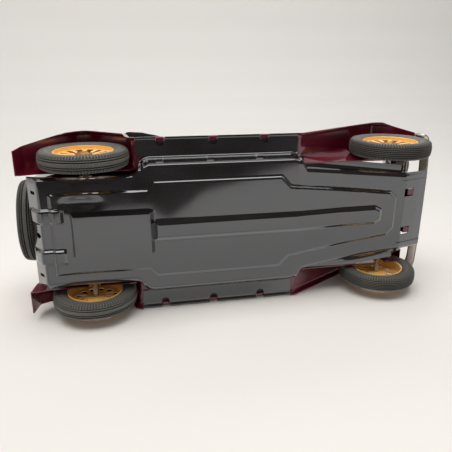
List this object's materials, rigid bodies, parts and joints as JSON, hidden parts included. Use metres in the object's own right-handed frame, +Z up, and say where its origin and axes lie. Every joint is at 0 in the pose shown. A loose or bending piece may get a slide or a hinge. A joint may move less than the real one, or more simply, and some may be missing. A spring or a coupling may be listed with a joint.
{
  "type": "friction tin car",
  "caption": "Toy roadster of stamped tin with a flywheel friction motor geared to its rear axle, rolling wheels, rear spare wheel and folded top.",
  "frame": {"origin": "centre of the car's outline in plan, on the ground plane that the tyres stand on", "axes": "+Z up, -Y towards the nose, +X towards the car's left side"},
  "size_m": [0.1, 0.2444, 0.0872],
  "materials": {
    "black_enamel": "gloss",
    "maroon_enamel": "gloss",
    "top_cloth": "matt",
    "clear_pane": "clear",
    "lamp_lens": "clear",
    "nickel": "polished",
    "black_trim": "satin",
    "panel_enamel": "satin",
    "seat_leather": "satin",
    "red_lamp": "gloss",
    "rubber": "matt",
    "yellow_enamel": "gloss",
    "cap_bronze": "satin",
    "gear_brass": "satin",
    "flywheel_iron": "matt",
    "zinc_steel": "satin"
  },
  "bodies": {
    "chassis": {"body_tub": "maroon_enamel", "bumper_brackets": "black_trim", "cabin_floor": "black_trim", "chassis_pan": "black_enamel", "door_handles": "nickel", "fender_strip_left": "maroon_enamel", "fender_strip_right": "maroon_enamel", "folded_top": "top_cloth", "front_axle_bracket": "zinc_steel", "front_bumper": "nickel", "headlamp_bar": "nickel", "headlamp_lenses": "lamp_lens", "headlamp_shells": "nickel", "hood_cover": "maroon_enamel", "instrument_panel": "panel_enamel", "motor_plate_left": "zinc_steel", "motor_plate_right": "zinc_steel", "motor_posts": "zinc_steel", "radiator_cap": "nickel", "radiator_core": "black_trim", "radiator_shell": "nickel", "seat_back": "seat_leather", "seat_cushion": "seat_leather", "spare_carrier": "zinc_steel", "spare_disc": "yellow_enamel", "spare_hub_cap": "cap_bronze", "spare_tyre": "rubber", "steering_column": "black_trim", "steering_wheel": "black_trim", "tail_lamp": "red_lamp", "windscreen_frame": "nickel", "windscreen_pane": "clear_pane"},
    "front_wheels": {"front_axle": "zinc_steel", "wheel_disc_front_left": "yellow_enamel", "wheel_disc_front_right": "yellow_enamel", "tyre_front_left": "rubber", "tyre_front_right": "rubber", "hub_cap_front_left": "cap_bronze", "hub_cap_front_right": "cap_bronze"},
    "rear_wheels": {"rear_axle": "zinc_steel", "axle_gear": "gear_brass", "wheel_disc_rear_left": "yellow_enamel", "wheel_disc_rear_right": "yellow_enamel", "tyre_rear_left": "rubber", "tyre_rear_right": "rubber", "hub_cap_rear_left": "cap_bronze", "hub_cap_rear_right": "cap_bronze"},
    "layshaft": {"lay_shaft": "zinc_steel", "lay_pinion": "gear_brass", "lay_gear": "gear_brass"},
    "flywheel_unit": {"flywheel_shaft": "zinc_steel", "flywheel_pinion": "gear_brass", "flywheel": "flywheel_iron"}
  },
  "joints": [
    {"name": "front_wheels_spin", "type": "hinge", "parent": "chassis", "child": "front_wheels", "pos_m": [0, -0.091, 0.0235], "axis": [1, 0, 0], "continuous": true},
    {"name": "rear_wheels_spin", "type": "hinge", "parent": "chassis", "child": "rear_wheels", "pos_m": [0, 0.084, 0.0235], "axis": [1, 0, 0], "continuous": true},
    {"name": "layshaft_spin", "type": "hinge", "parent": "chassis", "child": "layshaft", "pos_m": [0, 0.0728, 0.0265], "axis": [1, 0, 0], "continuous": true},
    {"name": "flywheel_spin", "type": "hinge", "parent": "chassis", "child": "flywheel_unit", "pos_m": [0, 0.06137, 0.02449], "axis": [1, 0, 0], "continuous": true}
  ],
  "couplings": [
    {"joint": "layshaft_spin", "follows": "rear_wheels_spin", "ratio": -3.6},
    {"joint": "flywheel_spin", "follows": "rear_wheels_spin", "ratio": 12.96}
  ]
}
